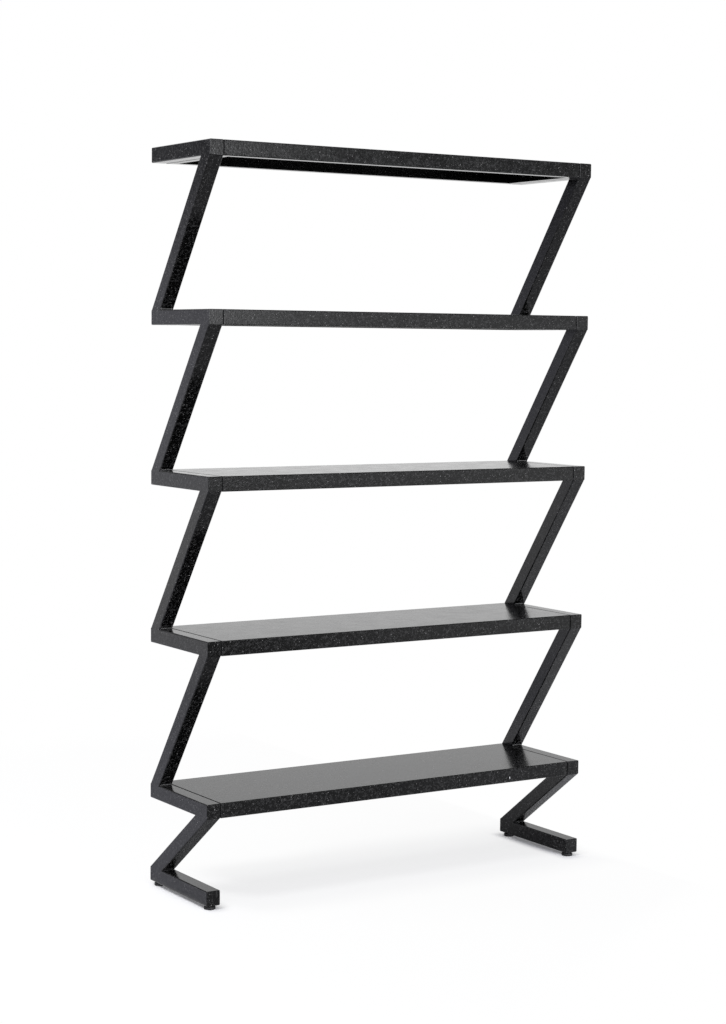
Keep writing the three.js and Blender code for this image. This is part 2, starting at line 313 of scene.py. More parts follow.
def lathe(skin, profile, centre, steps=LATHE_STEPS, turn=None, sharp=math.radians(35)):
    """A body of revolution about Z. profile rows are (radius, height) or, for a hexagon, (across
    flats, height, "hex"). turn is a matrix that is applied before the centre."""
    angles = [2 * math.pi * k / steps for k in range(steps)]
    turn = np.eye(3) if turn is None else np.array(turn)
    rings = []
    for row in profile:
        if rings and row == profile[0]:
            rings.append(rings[0])
            continue
        radii = [row[0] if len(row) == 2 else hexagon_radius(row[0], a) for a in angles]
        points = [(r * math.cos(a), r * math.sin(a), row[1]) for r, a in zip(radii, angles)]
        if row[0] == 0:
            points = points[:1]
        rings.append(skin.add([turn @ np.array(p) + centre for p in points]))
    slopes = []
    for a, b in zip(profile, profile[1:]):
        dr, dz = b[0] - a[0], b[1] - a[1]
        size = math.hypot(dr, dz) or 1
        slopes.append((dz / size, -dr / size))
    for k, (a, b) in enumerate(zip(rings, rings[1:])):
        low = blended(slopes[k], slopes[k - 1] if k > 0 else None, sharp)
        high = blended(slopes[k], slopes[k + 1] if k + 1 < len(slopes) else None, sharp)
        smooth = len(profile[k]) == len(profile[k + 1]) == 2
        for i in range(steps):
            j = (i + 1) % steps
            corners = [a[i % len(a)], a[j % len(a)], b[j % len(b)], b[i % len(b)]]
            if not smooth:
                skin.face(list(dict.fromkeys(corners)))
                continue
            kept = {}
            for corner, (nr, nz), spoke in zip(corners, (low, low, high, high), (i, j, j, i)):
                angle = angles[spoke]
                normal = turn @ np.array((nr * math.cos(angle), nr * math.sin(angle), nz))
                kept.setdefault(corner, normal)
            skin.face(list(kept), list(kept.values()))


# Side frames


def stance(height):
    """A diagonal's lean, its foot's length on the tube, and how far its head is from its foot."""
    lean = math.atan2(height, LAND) + math.asin(TUBE / math.hypot(LAND, height))
    foot = TUBE / math.sin(lean)
    return lean, foot, LAND - foot


def level_tube(name, sign, top, material):
    skin = Skin()
    centre = (sign * FRAME_OFFSET, 0, top - TUBE / 2)
    capped_bar(skin, ALONG_Y, centre, TUBE, TUBE, TUBE_CORNER, DEPTH, END_ROUND)
    skin.piece(f"{name}_coated", ROOT, material, [name])


def foot_bar(name, sign, material):
    """The bar on the feet is hollow, and open where the studs enter it."""
    skin = Skin()
    centre = (sign * FRAME_OFFSET, 0, FOOT_TOP - TUBE / 2)
    clear = TUBE - 2 * TUBE_WALL
    inner_corner = TUBE_CORNER - TUBE_WALL
    middle = [0]
    outer = capped_bar(
        skin, ALONG_Y, centre, TUBE, TUBE, TUBE_CORNER, DEPTH, END_ROUND, stations=middle
    )
    inner = capped_bar(
        skin, ALONG_Y, centre, clear, clear, inner_corner, DEPTH - 2 * END_PLATE, inner_corner / 4,
        steps=3, rim_steps=1, inward=True, stations=middle,
    )
    radius = STUD / 2 + STUD_PLAY
    turns = np.linspace(0, 2 * math.pi, HOLE_STEPS, endpoint=False)
    x = centre[0]
    for half, end in enumerate(ENDS.values()):
        y = end * (DEPTH / 2 - FOOT_INSET)
        rims = []
        for edges, z, looking in ((outer, FOOT_HEIGHT, DOWN), (inner, FOOT_HEIGHT + TUBE_WALL, UP)):
            rim = skin.add([(x + radius * math.cos(a), y + radius * math.sin(a), z) for a in turns])
            sheet = [*edges[half], *reversed(edges[half + 1])]
            fill(skin, [sheet, rim], looking)
            rims.append(rim)
        walls_between(skin, *rims)
    skin.piece(f"{name}_coated", ROOT, material, [name])


def diagonal(name, sign, bottom, height, material):
    lean, foot, run = stance(height)
    taper = TUBE_CORNER / math.sin(lean)
    outline = rounded_outline(TUBE, foot, TUBE_CORNER, taper, DIAGONAL_CORNER_STEPS)
    slope = np.array((0, -run, height))
    x = sign * FRAME_OFFSET
    skin = Skin()
    rings = []
    for share in (0, 1):
        y, z = (LAND - foot) / 2 - share * run, bottom + share * height
        points = [(x + u, y + v, z) for u, v, _, _ in outline]
        normals = [np.cross((-nv, nu, 0), slope) for _, _, nu, nv in outline]
        rings.append((skin.add(points), normals))
    skin.stack(rings, DOWN, UP)
    skin.piece(f"{name}_coated", ROOT, material, [name])


def weld(name, sign, face, height, end, up, material):
    """Weld metal where a diagonal meets a level tube: the sides are filled and ground flush, and a
    rippled bead lies in the sharp corner. face is the tube's surface, up is 1 on its top and -1 on
    its underside, and end is the end of the tube that the diagonal is flush with."""
    lean, foot, _ = stance(height)
    taper = TUBE_CORNER / math.sin(lean)
    near = end * LAND / 2
    far = near - end * foot
    inner = TUBE / 2 - TUBE_CORNER
    skin = Skin()

    quarter = [k / WELD_STEPS * math.pi / 2 for k in range(WELD_STEPS + 1)]
    edge = [(inner + TUBE_CORNER * math.sin(a), end * taper * (1 - math.cos(a))) for a in quarter]
    plan = [(x, near - y) for x, y in edge] + [(x, far + y) for x, y in edge[::-1]]
    for side in (-1, 1):
        low, high = (
            skin.add([(sign * FRAME_OFFSET + side * x, y, z) for x, y in plan])
            for z in (face - up * TUBE_CORNER, face)
        )
        for i in range(len(plan)):
            j = (i + 1) % len(plan)
            (x0, y0), (x1, y1) = plan[i], plan[j]
            out = (side * (y0 - y1) * end, (x1 - x0) * end, 0)
            skin.face([low[i], low[j], high[j], high[i]], towards=out)
        skin.face(low, towards=(0, 0, -up))
        skin.face(high, towards=(0, 0, up))

    # The bead's leg swells and shrinks with each ripple, and a little with a slower wave.
    root = np.array((far, face))
    rows = []
    for x in np.linspace(-inner - WELD_RUN_OUT, inner + WELD_RUN_OUT, BEAD_ROWS):
        faded = max(0, abs(x) - inner + WELD_FADE) / (WELD_FADE + WELD_RUN_OUT)
        fade = max(WELD_TIP, 1 - faded) ** 0.5
        ripple = WELD_RIPPLE_SHARE * math.sin(2 * math.pi * x / WELD_RIPPLE)
        drift = WELD_DRIFT_SHARE * math.sin(2 * math.pi * x / WELD_DRIFT + face)
        leg = WELD_LEG * fade * (1 + ripple + drift)
        on_tube = np.array((far - end * leg, face))
        on_slant = np.array((far - end * leg * math.cos(lean), face + up * leg * math.sin(lean)))
        row = []
        for k in range(BEAD_STEPS + 1):
            t = k / BEAD_STEPS
            chord = on_tube * (1 - t) + on_slant * t
            row.append(chord + (root - chord) * WELD_HOLLOW * 4 * t * (1 - t))
        row.append(root + np.array((end * WELD_ROOT, -up * WELD_ROOT)))
        if end * up > 0:
            row.reverse()
        rows.append((skin.add([(sign * FRAME_OFFSET + x, y, z) for y, z in row]), None))
    skin.stack(rows, (-1, 0, 0), (1, 0, 0))
    skin.piece(name, ROOT, material)


def rivet_flange(name, sign, y, top, material):
    skin = Skin()
    turn = Matrix.Rotation(-sign * math.pi / 2, 3, "Y")
    inner_face = sign * (FRAME_OFFSET - TUBE / 2)
    thick, bevel = NUT_FLANGE_THICKNESS, NUT_FLANGE_BEVEL
    bore, outer = SCREW / 2 + NUT_PLAY, NUT_FLANGE / 2
    profile = [
        (bore, 0),
        (outer, 0),
        (outer, thick - bevel),
        (outer - bevel, thick),
        (bore, thick),
        (bore, 0),
    ]
    lathe(skin, profile, np.array((inner_face, y, top - TUBE / 2)), turn=turn)
    skin.piece(name, ROOT, material)


# Shelves


def tray_floor(skin, edges, xs, ys, z, looking):
    """The returns under a tray, on one face of the sheet: four strips with mitred joints and relief
    holes. edges has the corners of the open underside, xs and ys the places of its stations and
    seams. Returns the window's outline."""
    half_x, half_y = SHELF_LENGTH / 2 - RETURN, DEPTH / 2 - RETURN
    relief_x, relief_y = SHELF_LENGTH / 2 - BEND - RELIEF_INSET, DEPTH / 2 - BEND - RELIEF_INSET
    front, back = (skin.add([(x, s * half_y, z) for x in xs]) for s in (-1, 1))
    left, right = (skin.add([(s * half_x, y, z) for y in ys]) for s in (-1, 1))
    for lip, edge in ((front, 0), (back, -1)):
        for i in range(len(xs) - 1):
            skin.face([edges[i + 1][edge], edges[i + 2][edge], lip[i + 1], lip[i]], towards=looking)
    for lip, row in ((left, edges[0]), (right, edges[-1])):
        for j in range(len(ys) - 1):
            skin.face([row[j + 1], row[j + 2], lip[j + 1], lip[j]], towards=looking)
    arcs = {}
    gap = math.asin(MITRE_SLIT / 2 / RELIEF)
    for sx, sy in CORNERS:
        start = math.atan2(sy, sx) + math.pi + gap
        shares = np.linspace(0, 1, RELIEF_STEPS + 1)
        turns = [start + share * (2 * math.pi - 2 * gap) for share in shares]
        x, y = sx * relief_x, sy * relief_y
        arc = skin.add([(x + RELIEF * math.cos(a), y + RELIEF * math.sin(a), z) for a in turns])
        arcs[sx, sy] = arc
        row, near_row, lip_end = (edges[-1], edges[-2], -1) if sx > 0 else (edges[0], edges[1], 0)
        edge, near_edge, side_end = (-1, -2, -1) if sy > 0 else (0, 1, 0)
        side, lip = (right if sx > 0 else left), (back if sy > 0 else front)
        from_side = arc if sx * sy > 0 else arc[::-1]
        bend = [near_row[edge], row[edge], row[near_edge]]
        fill(skin, [[*bend, side[side_end], *from_side, lip[lip_end]]], looking)
    return [
        *arcs[1, 1], *back[::-1],
        *arcs[-1, 1], *left[::-1],
        *arcs[-1, -1], *front,
        *arcs[1, -1], *right,
    ]


def tray(level, material):
    top = SHELF_TOPS[level]
    centre = (0, 0, top - TUBE / 2)
    name = f"shelf_{level + 1}"
    skin = Skin()
    notch = MITRE_SLIT / math.sqrt(2)
    xs = np.linspace(-1, 1, TRAY_STATIONS) * (SHELF_LENGTH / 2 - RETURN - notch)
    ys = np.linspace(-1, 1, TRAY_SEAMS) * (DEPTH / 2 - RETURN - notch)
    outer = capped_bar(
        skin, ALONG_X, centre, DEPTH, TUBE, BEND, SHELF_LENGTH, SHELF_END_ROUND,
        steps=8, rim_steps=5, stations=xs, seams=ys,
    )
    inner = capped_bar(
        skin, ALONG_X, centre, DEPTH - 2 * SHEET, TUBE - 2 * SHEET, BEND - SHEET,
        SHELF_LENGTH - 2 * SHEET, SHELF_INSIDE_ROUND,
        steps=5, rim_steps=2, inward=True, stations=xs, seams=ys,
    )
    window_outside = tray_floor(skin, outer, xs, ys, top - TUBE, DOWN)
    window_inside = tray_floor(skin, inner, xs, ys, top - TUBE + SHEET, UP)
    walls_between(skin, window_outside, window_inside)
    skin.piece(f"{name}_coated", ROOT, material, [name])


def button_screw(name, sign, y, top, material):
    """A button-head screw with a domed head and a hexagonal socket, its head inside the tray."""
    skin = Skin()
    turn = Matrix.Rotation(sign * math.pi / 2, 3, "Y")
    centre = np.array((sign * (SHELF_LENGTH / 2 - SHEET), y, top - TUBE / 2))
    shank, head, height = SCREW / 2, SCREW_HEAD / 2, SCREW_HEAD_HEIGHT
    ball = head / math.sin(SCREW_DOME)
    dome = []
    for k in range(DOME_STEPS + 1):
        a = k / DOME_STEPS * SCREW_DOME
        share = (math.cos(a) - math.cos(SCREW_DOME)) / (1 - math.cos(SCREW_DOME))
        dome.append((ball * math.sin(a), -SCREW_HEAD_RIM - (height - SCREW_HEAD_RIM) * share))
    mouth = SOCKET_SIDE + 2 * SOCKET_CHAMFER
    mouth_corner = mouth / math.sqrt(3)
    profile = [
        (0, -height + SOCKET_DEPTH + SOCKET_POINT),
        (SOCKET_SIDE, -height + SOCKET_DEPTH, "hex"),
        (SOCKET_SIDE, -height + SOCKET_CHAMFER, "hex"),
        (mouth, -height, "hex"),
        *(row for row in dome if row[0] > mouth_corner),
        (head, -SCREW_HEAD_BEVEL / 2),
        (head - SCREW_HEAD_BEVEL, 0),
        (shank, 0),
        (shank, SCREW_REACH - SCREW_POINT_CHAMFER),
        (shank - SCREW_POINT_CHAMFER, SCREW_REACH),
        (0, SCREW_REACH),
    ]
    lathe(skin, profile, centre, turn=turn)
    skin.piece(f"{name}_turned", ROOT, material, [name])


# Levelling feet


def foot_pad(place, x, y, material):
    """A round pad with a groove around it, and a socket in which the stud's head turns."""
    radius, crown, socket = PAD / 2, PAD_CROWN / 2, STUD_HEAD / 2 + RUNNING_GAP
    skin = Skin()
    profile = [
        (0, 0),
        (radius - PAD_EDGE, 0),
        (radius - 0.3 * PAD_EDGE, 0.3 * PAD_EDGE),
        (radius, PAD_EDGE),
        (radius, PAD_GROOVE - PAD_GROOVE_WIDTH / 2),
        (radius - PAD_GROOVE_DEPTH, PAD_GROOVE - PAD_GROOVE_WIDTH / 4),
        (radius - PAD_GROOVE_DEPTH, PAD_GROOVE + PAD_GROOVE_WIDTH / 4),
        (radius, PAD_GROOVE + PAD_GROOVE_WIDTH / 2),
    ]
    for k in range(SHOULDER_STEPS + 1):
        a = k / SHOULDER_STEPS * math.pi / 2
        z = PAD_HEIGHT - PAD_SHOULDER + PAD_SHOULDER * math.sin(a)
        profile.append((crown + (radius - crown) * math.cos(a), z))
    profile += [
        (socket + PAD_SOCKET_BEVEL, PAD_HEIGHT),
        (socket, PAD_HEIGHT - PAD_SOCKET_BEVEL),
        (socket, SOCKET_FLOOR),
        (0, SOCKET_FLOOR),
    ]
    lathe(skin, profile, np.array((x, y, 0)), steps=FOOT_STEPS)
    name = f"foot_pad_{place}"
    skin.piece(f"{name}_moulded", f"pad_{place}", material, [name])


def foot_stud(place, x, y, material):
    """The stud's head and collar, then its thread, a true helix."""

    def ring(radii, z):
        angles = (2 * math.pi * k / len(radii) for k in range(len(radii)))
        points = [(x + r * math.cos(a), y + r * math.sin(a), z) for r, a in zip(radii, angles)]
        return skin.add(points), None

    skin = Skin()
    head, bevel = STUD_HEAD / 2, STUD_HEAD_BEVEL
    middle = (COLLAR_BOTTOM + COLLAR_TOP) / 2
    bottom = SOCKET_FLOOR + RUNNING_GAP
    profile = [
        (0, bottom),
        (head - bevel, bottom),
        (head, bottom + bevel),
        (head, middle),
        (0, middle),
    ]
    lathe(skin, profile, np.array((x, y, 0)))

    flats = [hexagon_radius(COLLAR_SIDE, 2 * math.pi * k / FOOT_STEPS) for k in range(FOOT_STEPS)]
    turned = [min(flat, COLLAR_SIDE / 2 + COLLAR_FACE) for flat in flats]
    collar = [
        ring(turned, COLLAR_BOTTOM),
        ring(flats, COLLAR_BOTTOM + COLLAR_CHAMFER),
        ring(flats, COLLAR_TOP - COLLAR_CHAMFER),
        ring(turned, COLLAR_TOP),
    ]
    skin.stack(collar, DOWN, UP)

    crest, root = STUD / 2, STUD / 2 - STUD_THREAD_DEPTH
    tip = COLLAR_TOP + STUD_REACH
    rows = int(round((tip - middle) / STUD_PITCH)) * THREAD_ROWS
    thread = []
    for row in range(rows + 1):
        z = middle + (tip - middle) * row / rows
        end_fade = min(1, (tip - z) / STUD_RUN_OUT)
        radii = []
        for k in range(THREAD_STEPS):
            phase = (z / STUD_PITCH - k / THREAD_STEPS) % 1
            # A wave of straight flanks, cut flat at the crest and at the root.
            flank = STUD_CREST_SHARE - abs(2 * phase - 1) * STUD_FLANK_SHARE
            wave = min(1, max(0, flank))
            radii.append(root + (crest - root) * wave * end_fade)
        thread.append(ring(radii, z))
    skin.stack(thread, DOWN, UP)
    name = f"foot_stud_{place}"
    skin.piece(f"{name}_threaded", f"stud_{place}", material, [name])


# Materials

# Mineral flecks in the powder, in metres: the cell that holds one at most, the smallest and the
# largest radius, and the share of the cells that have one.
LARGE_FLECKS = (0.0090, 0.0010, 0.0020, 0.60)
MEDIUM_FLECKS = (0.0050, 0.0006, 0.0014, 0.85)
FINE_FLECKS = (0.0024, 0.0002, 0.0004, 0.80)
FLECK_EDGE = 0.00012
FLECK_RAGGED = 0.0006
NICK = (0.3635, -0.16, 0.2545)
NICK_RADII = (0.0011, 0.002, 0.0044)
# How soon the painted seam shade comes in, in metres.
SEAM_SHADE_EDGE = 0.0005
WARM, COOL = (1, 0.99, 0.97), (1, 1, 1.03)


class Tree:
    """Short names for the nodes of one material or world."""

    def __init__(self, owner):
        owner.use_nodes = True
        self.tree = owner.node_tree
        self.tree.nodes.clear()

    def node(self, kind, inputs=None, **settings):
        made = self.tree.nodes.new(kind)
        for key, value in settings.items():
            setattr(made, key, value)
        for key, value in (inputs or {}).items():
            self.put(made.inputs[key], value)
        return made

    def put(self, socket, value):
        if isinstance(value, bpy.types.NodeSocket):
            self.tree.links.new(value, socket)
        else:
            socket.default_value = value

    def place(self):
        return self.node("ShaderNodeTexCoord").outputs["Object"]

    def parts(self, vector):
        return self.node("ShaderNodeSeparateXYZ", {"Vector": vector}).outputs

    def math(self, operation, *values, clamp=False):
        made = self.node("ShaderNodeMath", operation=operation, use_clamp=clamp)
        for socket, value in zip(made.inputs, values):
            self.put(socket, value)
        return made.outputs[0]

    def chain(self, operation, first, *others):
        for other in others:
            first = self.math(operation, first, other)
        return first

    def product(self, *values):
        return self.chain("MULTIPLY", *values)

    def total(self, *values):
        return self.chain("ADD", *values)

    def highest(self, *values):
        return self.chain("MAXIMUM", *values)

    def rest(self, share):
        return self.math("SUBTRACT", 1.0, share)

    def vector(self, operation, *values, output=0):
        made = self.node("ShaderNodeVectorMath", operation=operation)
        for socket, value in zip(made.inputs, values):
            self.put(socket, value)
        return made.outputs[output]

    def length(self, vector):
        return self.vector("LENGTH", vector, output=1)

    def along(self, vector, direction):
        return self.vector("DOT_PRODUCT", vector, direction, output=1)

    def ramp(self, value, low, high, to_low=0.0, to_high=1.0, smooth=True):
        course = "SMOOTHSTEP" if smooth else "LINEAR"
        made = self.node("ShaderNodeMapRange", interpolation_type=course)
        for key, given in enumerate((value, low, high, to_low, to_high)):
            self.put(made.inputs[key], given)
        return made.outputs[0]

    def noise(self, where, scale, detail=2.0, roughness=0.5):
        return self.node(
            "ShaderNodeTexNoise",
            {"Vector": where, "Scale": scale, "Detail": detail, "Roughness": roughness},
        ).outputs["Fac"]

    def mix(self, share, one, other):
        made = self.node("ShaderNodeMix", data_type="RGBA")
        for key, given in ((0, share), (6, one), (7, other)):
            self.put(made.inputs[key], given)
        return made.outputs[2]

    def surface(self, colour, roughness, height, strength, distance, **others):
        """The shader and the output. height, strength and distance are those of the bump."""
        bump = self.node(
            "ShaderNodeBump", {"Strength": strength, "Distance": distance, "Height": height}
        )
        shader = self.node(
            "ShaderNodeBsdfPrincipled",
            {"Base Color": colour, "Roughness": roughness, "Normal": bump.outputs[0], **others},
        )
        self.node("ShaderNodeOutputMaterial", {"Surface": shader.outputs[0]})


def grey(value, tint=(1, 1, 1)):
    return (value * tint[0], value * tint[1], value * tint[2], 1)


def flecks(tree, where, cell, smallest, largest, density):
    """Small balls all through the coat, each with its own size and brightness."""
    cells = tree.node(
        "ShaderNodeTexVoronoi", {"Vector": where, "Scale": 1 / cell, "Randomness": 1.0}
    )
    chance = tree.node("ShaderNodeSeparateColor", {"Color": cells.outputs["Color"]})
    size = tree.ramp(chance.outputs[0], 0.0, 1.0, smallest / cell, largest / cell, smooth=False)
    inside = tree.math("SUBTRACT", size, cells.outputs["Distance"])
    shape = tree.math("MULTIPLY", inside, cell / FLECK_EDGE, clamp=True)
    present = tree.math("LESS_THAN", chance.outputs[1], density)
    bright = tree.ramp(tree.math("POWER", chance.outputs[2], 2.0), 0.0, 1.0, 0.1, 1.0, smooth=False)
    return tree.product(shape, present, bright)


def powder_coat(name, base, rough, seed, nick=None, seam_shade_from=None):
    """Black satin powder coat with pale mineral flecks, patches of fine dust and a faint orange
    peel. nick is the place of a nick that shows the primer. Beyond a seam distance, from the
    middle along X, the coat is painted near black and dull: painted shade in the seam where the
    tray's ends meet the tubes."""
    made = bpy.data.materials.new(name)
    tree = Tree(made)
    on_piece = tree.place()
    place = tree.vector("ADD", on_piece, (seed, 2 * seed, 3 * seed))

    wobble = tree.node("ShaderNodeTexNoise", {"Vector": place, "Scale": 900.0, "Detail": 1.0})
    ragged = tree.vector("MULTIPLY_ADD", wobble.outputs["Color"], (FLECK_RAGGED,) * 3, place)
    large = flecks(tree, ragged, *LARGE_FLECKS)
    medium = flecks(tree, ragged, *MEDIUM_FLECKS)
    fine = flecks(tree, ragged, *FINE_FLECKS)
    pale = tree.highest(large, medium, fine)

    cloud = tree.ramp(tree.noise(place, 9.0, 3.0, 0.55), 0.3, 0.7, 0.7, 1.0)
    dust = tree.ramp(tree.noise(place, 145.0, 1.0, 0.5), 0.46, 0.74)
    ground = tree.mix(tree.product(dust, cloud), grey(base, COOL), grey(0.022))
    colour = tree.mix(pale, ground, grey(0.15, WARM))
    polish = tree.noise(place, 22.0, 3.0, 0.6)
    roughness = tree.ramp(polish, 0.25, 0.75, rough - 0.025, rough + 0.025)
    roughness = tree.total(roughness, tree.product(pale, 0.12))

    if nick:
        off = tree.vector("SUBTRACT", on_piece, nick)
        off = tree.vector("MULTIPLY", off, tuple(1 / radius for radius in NICK_RADII))
        bare = tree.math("SUBTRACT", 1.0, tree.length(off), clamp=True)
        bare = tree.math("MULTIPLY", bare, 4.0, clamp=True)
        colour = tree.mix(bare, colour, grey(0.75))
    # Painted shade in the seams: the tray's ends turn near black and dull.
    if seam_shade_from:
        from_middle = tree.math("ABSOLUTE", tree.parts(on_piece)["X"])
        beyond = tree.ramp(from_middle, seam_shade_from, seam_shade_from + SEAM_SHADE_EDGE)
        colour = tree.mix(beyond, colour, grey(0.001))
        roughness = tree.total(roughness, tree.product(beyond, 0.6))

    peel = tree.noise(place, 190.0, 2.0, 0.55)
    grit = tree.noise(place, 2600.0, 2.0, 0.6)
    height = tree.total(peel, tree.product(grit, 0.02), tree.product(large, 0.08))
    tree.surface(colour, roughness, height, strength=0.7, distance=0.0002, IOR=1.4)
    return made


def black_steel(name, base, rough, along):
    """Blackened steel with fine tool marks and a little wear on them. along stretches the marks."""
    made = bpy.data.materials.new(name)
    tree = Tree(made)
    place = tree.place()
    marks = tree.noise(tree.vector("MULTIPLY", place, along), 60.0, 4.0, 0.6)
    spots = tree.noise(place, 700.0, 3.0, 0.6)
    worn = grey(base * 2.4, (1, 0.98, 0.95))
    colour = tree.mix(tree.ramp(marks, 0.35, 0.7), grey(base, COOL), worn)
    colour = tree.mix(tree.ramp(spots, 0.62, 0.75), colour, grey(base * 4))
    roughness = tree.ramp(marks, 0.3, 0.7, rough - 0.08, rough + 0.1)
    tree.surface(colour, roughness, marks, strength=0.3, distance=0.00005, Metallic=1.0)
    return made


def moulded_plastic(name):
    """Black polyamide with a fine spark-eroded grain."""
    made = bpy.data.materials.new(name)
    tree = Tree(made)
    place = tree.place()
    grain = tree.noise(place, 3200.0, 3.0, 0.6)
    scuff = tree.noise(place, 160.0, 4.0, 0.65)
    colour = tree.mix(tree.ramp(scuff, 0.45, 0.75), grey(0.008), grey(0.022))
    roughness = tree.ramp(grain, 0.3, 0.7, 0.46, 0.62)
    tree.surface(colour, roughness, grain, strength=0.4, distance=0.00008, IOR=1.45)
    return made


COAT_BLACK = 0.0012
SHELF_FLAT_END = MM * (SHELF_LENGTH / 2 - SHELF_END_ROUND)
FRAME_COAT = powder_coat("frame_powder_coat", COAT_BLACK, 0.155, 0.37)
SHELF_COAT = powder_coat("shelf_powder_coat", COAT_BLACK, 0.165, 1.91, NICK, SHELF_FLAT_END)
SCREW_STEEL = black_steel("black_screw_steel", 0.05, 0.38, (1, 8, 8))
STUD_STEEL = black_steel("black_stud_steel", 0.04, 0.42, (1, 1, 12))
ZINC_STEEL = black_steel("zinc_nut_steel", 0.42, 0.34, (1, 1, 10))
PAD_PLASTIC = moulded_plastic("black_pad_plastic")


# The object

for side, sign in SIDES.items():
    foot_bar(f"{side}_foot_bar", sign, FRAME_COAT)
    floor_of_level = [FOOT_TOP] + SHELF_TOPS[:-1]
    for level, top in enumerate(SHELF_TOPS):
        bottom = floor_of_level[level]
        height = top - TUBE - bottom
        diagonal(f"{side}_diagonal_{level + 1}", sign, bottom, height, FRAME_COAT)
        level_tube(f"{side}_shelf_tube_{level + 1}", sign, top, FRAME_COAT)
        foot_weld, head_weld = (f"{side}_{place}_weld_{level + 1}" for place in ("foot", "head"))
        weld(foot_weld, sign, bottom, height, end=1, up=1, material=FRAME_COAT)
        weld(head_weld, sign, top - TUBE, height, end=-1, up=-1, material=FRAME_COAT)
        for end, facing in ENDS.items():
            y = facing * SCREW_SPREAD / 2
            rivet_flange(f"rivet_flange_{level + 1}_{side}_{end}", sign, y, top, SCREW_STEEL)
            button_screw(f"shelf_{level + 1}_screw_{side}_{end}", sign, y, top, SCREW_STEEL)
    for end, facing in ENDS.items():
        place = f"{side}_{end}"
        x, y = sign * FRAME_OFFSET, facing * (DEPTH / 2 - FOOT_INSET)
        foot_pad(place, x, y, PAD_PLASTIC)
        foot_stud(place, x, y, STUD_STEEL)
        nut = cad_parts[f"weld_nut_{place}"]
        nut.data.materials.clear()
        nut.data.materials.append(ZINC_STEEL)
for level in range(SHELF_COUNT):
    tray(level, SHELF_COAT)


# Camera, as fitted to the edges in the photograph

EYE = (-3.18399, -4.87931, 1.47026)
YAW, PITCH, ROLL = (math.radians(a) for a in (31.7675, 5.4732, 0.5552))
FOCAL_PIXELS = 2111.25
PRINCIPAL = (324.07, 546.24)
FRAME_SIZE = (726, 1024)

heading = math.cos(PITCH)
forward = Vector((math.sin(YAW) * heading, math.cos(YAW) * heading, -math.sin(PITCH)))
level_right = Vector((math.cos(YAW), -math.sin(YAW), 0))
level_up = level_right.cross(forward)
right = math.cos(ROLL) * level_right + math.sin(ROLL) * level_up
up = -math.sin(ROLL) * level_right + math.cos(ROLL) * level_up
camera_data = bpy.data.cameras.new("camera")
camera_data.sensor_width = 36
camera_data.lens = FOCAL_PIXELS / FRAME_SIZE[1] * camera_data.sensor_width
camera_data.shift_x = (FRAME_SIZE[0] / 2 - PRINCIPAL[0]) / FRAME_SIZE[1]
camera_data.shift_y = (PRINCIPAL[1] - FRAME_SIZE[1] / 2) / FRAME_SIZE[1]
camera = bpy.data.objects.new("camera", camera_data)
basis = Matrix((right, up, -forward)).transposed().to_4x4()
camera.matrix_world = Matrix.Translation(EYE) @ basis
bpy.context.scene.collection.objects.link(camera)
bpy.context.scene.camera = camera


# Studio

FLOOR_REACH = 15
PAPER = 0.95
SHADED = 0.73
SHADE_EDGE = 0.94
# On the floor, about across the picture and away from the camera.
ACROSS_VIEW = (0.8545, 0.5195, 0)
INTO_VIEW = (-0.5195, 0.8545, 0)
# The share of the walls' light that a dull surface doesn't get, so that a colour renders about as
# it is written.
NOT_SPREAD = 0.3


